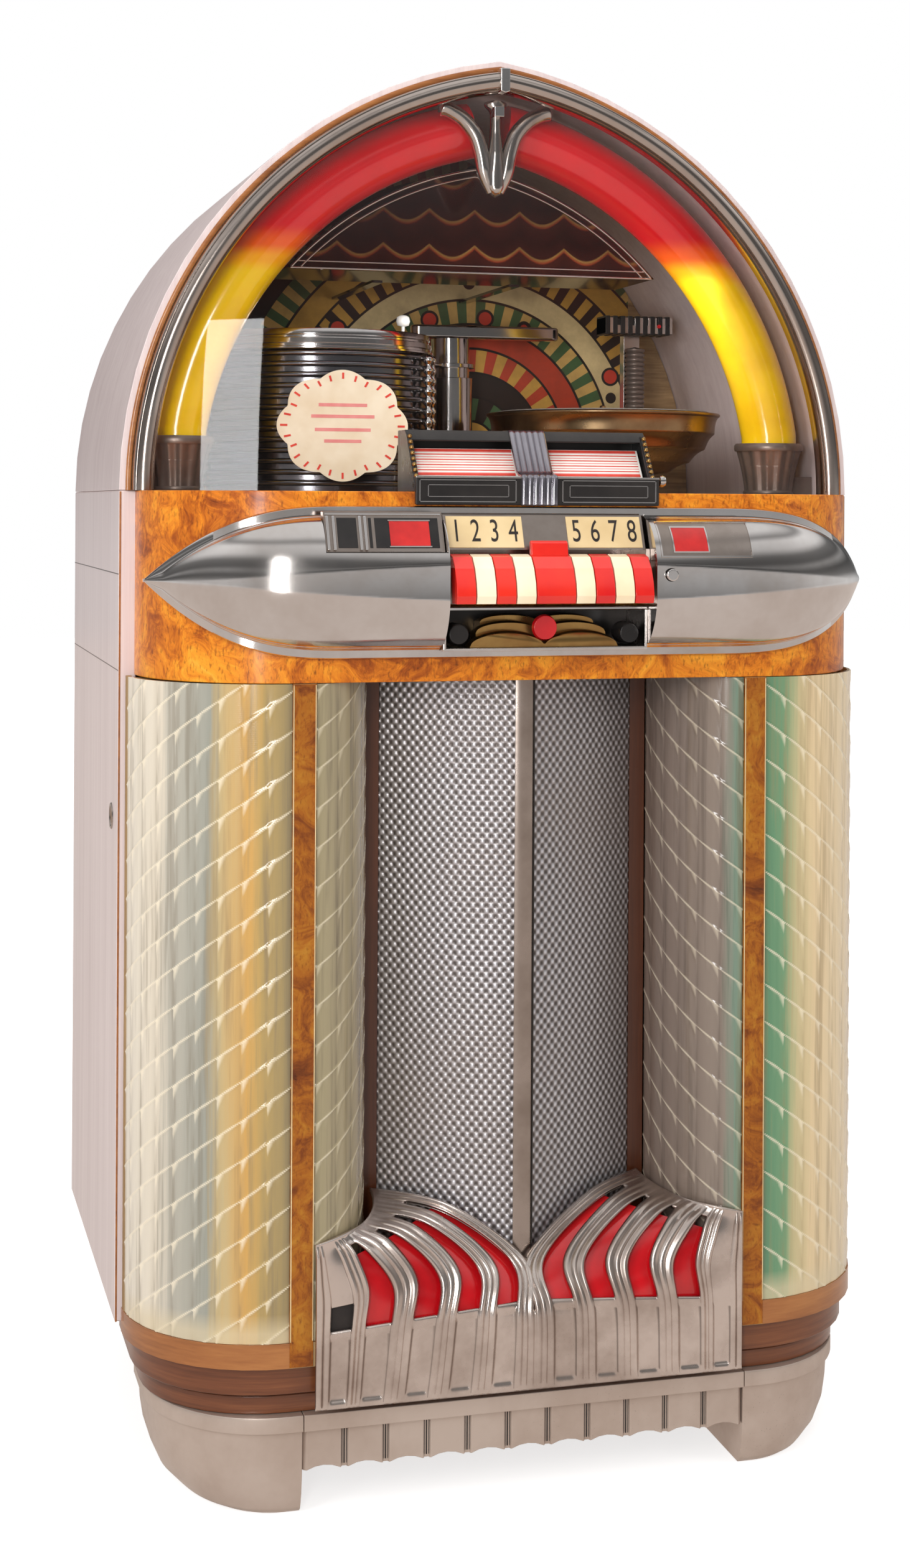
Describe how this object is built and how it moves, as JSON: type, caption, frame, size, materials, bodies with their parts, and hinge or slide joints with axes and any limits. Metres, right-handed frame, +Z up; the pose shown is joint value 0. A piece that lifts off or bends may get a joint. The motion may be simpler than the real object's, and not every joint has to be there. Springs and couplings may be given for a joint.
{
  "type": "jukebox",
  "caption": "Floor-standing pointed-arch jukebox with opening dome and front door, rocking keys, title drum, record changer and light columns.",
  "frame": {"origin": "middle of the bottom of the bounding box, on the floor under the cabinet", "axes": "+Z up, -Y towards the listener in front, +X to the listener's right"},
  "size_m": [0.785, 0.6644, 1.435],
  "materials": {
    "side_veneer": "satin lacquered pale straight-grained veneer",
    "burl_veneer": "lacquered orange-amber mottled burl",
    "mahogany": "lacquered red-brown mahogany",
    "plywood": "raw plywood",
    "cast_metal": "worn warm-grey casting",
    "chrome": "polished plate with fine wear",
    "grey_metal": "grey enamel",
    "brass": "polished, slightly tarnished",
    "red_plastic": "translucent red",
    "cream_plastic": "aged cream",
    "tube_plastic": "red above, yellow below",
    "pilaster_plastic": "quilted translucent cream",
    "colour_film": "tinted film in bands",
    "clear_plastic": "clear polished sheet",
    "grille_weave": "silver woven mesh",
    "printed_board": null,
    "paper_cone": "dark pressed paper"
  },
  "bodies": {
    "root": {"side_wall_left": "side_veneer", "side_wall_right": "side_veneer", "floor_board": "plywood", "lower_back_panel": "plywood", "mechanism_shelf": "plywood", "plinth": "mahogany", "foot_left": "cast_metal", "foot_right": "cast_metal", "apron": "cast_metal", "amplifier_chassis": "grey_metal", "selector_band": "burl_veneer", "bezel": "chrome", "coin_plate": "chrome", "key_frame": "chrome", "title_holder": "chrome", "coin_return_cup": "brass", "changer_frame": "chrome", "tray_stack": "chrome", "lid_hinge_base": "grey_metal", "door_hinge_base": "grey_metal"},
    "key_1": {"key_1": "red_plastic"},
    "key_2": {"key_2": "cream_plastic"},
    "key_3": {"key_3": "red_plastic"},
    "key_4": {"key_4": "cream_plastic"},
    "key_5": {"key_5": "cream_plastic"},
    "key_6": {"key_6": "red_plastic"},
    "key_7": {"key_7": "cream_plastic"},
    "key_8": {"key_8": "red_plastic"},
    "program_key": {"program_key": "red_plastic"},
    "cancel_button": {"cancel_button": "chrome"},
    "title_drum": {"title_drum": "cream_plastic"},
    "play_tray": {"play_tray": "chrome"},
    "lift": {"lift_column": "chrome"},
    "turntable": {"turntable": "brass"},
    "tonearm": {"tonearm": "chrome"},
    "lock": {"lock_cylinder": "brass"},
    "lid": {"lid_shell": "side_veneer", "windshield": "clear_plastic", "dome_trim": "chrome", "apex_ornament": "chrome", "tube_left": "tube_plastic", "tube_right": "tube_plastic", "ferrule_left": "cast_metal", "ferrule_right": "cast_metal", "header_canopy": "grey_metal", "backdrop_panel": "printed_board", "lid_hinge_leaf": "grey_metal"},
    "door": {"door_frame": "burl_veneer", "outer_panel_left": "pilaster_plastic", "outer_panel_right": "pilaster_plastic", "inner_panel_left": "pilaster_plastic", "inner_panel_right": "pilaster_plastic", "grille": "grille_weave", "centre_rib": "chrome", "kick_casting": "cast_metal", "red_lens": "red_plastic", "speaker": "paper_cone", "door_hinge_leaf": "grey_metal"},
    "colour_left": {"colour_cylinder_left": "colour_film"},
    "colour_right": {"colour_cylinder_right": "colour_film"}
  },
  "joints": [
    {"name": "lid_hinge", "type": "hinge", "parent": "root", "child": "lid", "pos_m": [0, 0.3282, 0.9855], "axis": [-1, 0, 0], "range_deg": [0, 50]},
    {"name": "door_hinge", "type": "hinge", "parent": "root", "child": "door", "pos_m": [0.3895, -0.1264, 0.49], "axis": [0, 0, 1], "range_deg": [0, 100]},
    {"name": "key_1_rock", "type": "hinge", "parent": "root", "child": "key_1", "pos_m": [-0.0891, -0.3037, 0.9205], "axis": [1, 0, 0], "range_deg": [0, 8], "stiffness_Nm_per_rad": 0.15, "springref_deg": -8.59},
    {"name": "key_2_rock", "type": "hinge", "parent": "root", "child": "key_2", "pos_m": [-0.0693, -0.3037, 0.9205], "axis": [1, 0, 0], "range_deg": [0, 8], "stiffness_Nm_per_rad": 0.15, "springref_deg": -8.59},
    {"name": "key_3_rock", "type": "hinge", "parent": "root", "child": "key_3", "pos_m": [-0.0495, -0.3037, 0.9205], "axis": [1, 0, 0], "range_deg": [0, 8], "stiffness_Nm_per_rad": 0.15, "springref_deg": -8.59},
    {"name": "key_4_rock", "type": "hinge", "parent": "root", "child": "key_4", "pos_m": [-0.0297, -0.3037, 0.9205], "axis": [1, 0, 0], "range_deg": [0, 8], "stiffness_Nm_per_rad": 0.15, "springref_deg": -8.59},
    {"name": "key_5_rock", "type": "hinge", "parent": "root", "child": "key_5", "pos_m": [0.0297, -0.3037, 0.9205], "axis": [1, 0, 0], "range_deg": [0, 8], "stiffness_Nm_per_rad": 0.15, "springref_deg": -8.59},
    {"name": "key_6_rock", "type": "hinge", "parent": "root", "child": "key_6", "pos_m": [0.0495, -0.3037, 0.9205], "axis": [1, 0, 0], "range_deg": [0, 8], "stiffness_Nm_per_rad": 0.15, "springref_deg": -8.59},
    {"name": "key_7_rock", "type": "hinge", "parent": "root", "child": "key_7", "pos_m": [0.0693, -0.3037, 0.9205], "axis": [1, 0, 0], "range_deg": [0, 8], "stiffness_Nm_per_rad": 0.15, "springref_deg": -8.59},
    {"name": "key_8_rock", "type": "hinge", "parent": "root", "child": "key_8", "pos_m": [0.0891, -0.3037, 0.9205], "axis": [1, 0, 0], "range_deg": [0, 8], "stiffness_Nm_per_rad": 0.15, "springref_deg": -8.59},
    {"name": "program_key_rock", "type": "hinge", "parent": "root", "child": "program_key", "pos_m": [0, -0.3037, 0.9205], "axis": [1, 0, 0], "range_deg": [0, 8], "stiffness_Nm_per_rad": 0.25, "springref_deg": -8.59},
    {"name": "cancel_press", "type": "slide", "parent": "root", "child": "cancel_button", "axis": [0, 1, 0], "range_m": [0, 0.004], "stiffness_N_per_m": 400, "springref_m": -0.003},
    {"name": "title_drum_turn", "type": "hinge", "parent": "root", "child": "title_drum", "pos_m": [0, -0.222, 1.0092], "axis": [1, 0, 0], "continuous": true},
    {"name": "tray_swing", "type": "hinge", "parent": "root", "child": "play_tray", "pos_m": [0.04571, 0.245, 1.14], "axis": [0, 0, 1], "range_deg": [0, 78.8]},
    {"name": "turntable_lift", "type": "slide", "parent": "root", "child": "lift", "axis": [0, 0, 1], "range_m": [0, 0.06]},
    {"name": "turntable_spin", "type": "hinge", "parent": "lift", "child": "turntable", "pos_m": [0.165, 0.023, 1.04], "axis": [0, 0, 1], "continuous": true},
    {"name": "tonearm_swing", "type": "hinge", "parent": "root", "child": "tonearm", "pos_m": [0.04571, 0.245, 1.18], "axis": [0, 0, -1], "range_deg": [0, 35]},
    {"name": "lock_turn", "type": "hinge", "parent": "root", "child": "lock", "pos_m": [-0.3925, -0.0746, 0.6544], "axis": [1, 0, 0], "range_deg": [0, 90]},
    {"name": "colour_left_spin", "type": "hinge", "parent": "door", "child": "colour_left", "pos_m": [-0.3038, -0.178, 0.5], "axis": [0, 0, 1], "continuous": true},
    {"name": "colour_right_spin", "type": "hinge", "parent": "door", "child": "colour_right", "pos_m": [0.3038, -0.178, 0.5], "axis": [0, 0, 1], "continuous": true}
  ]
}
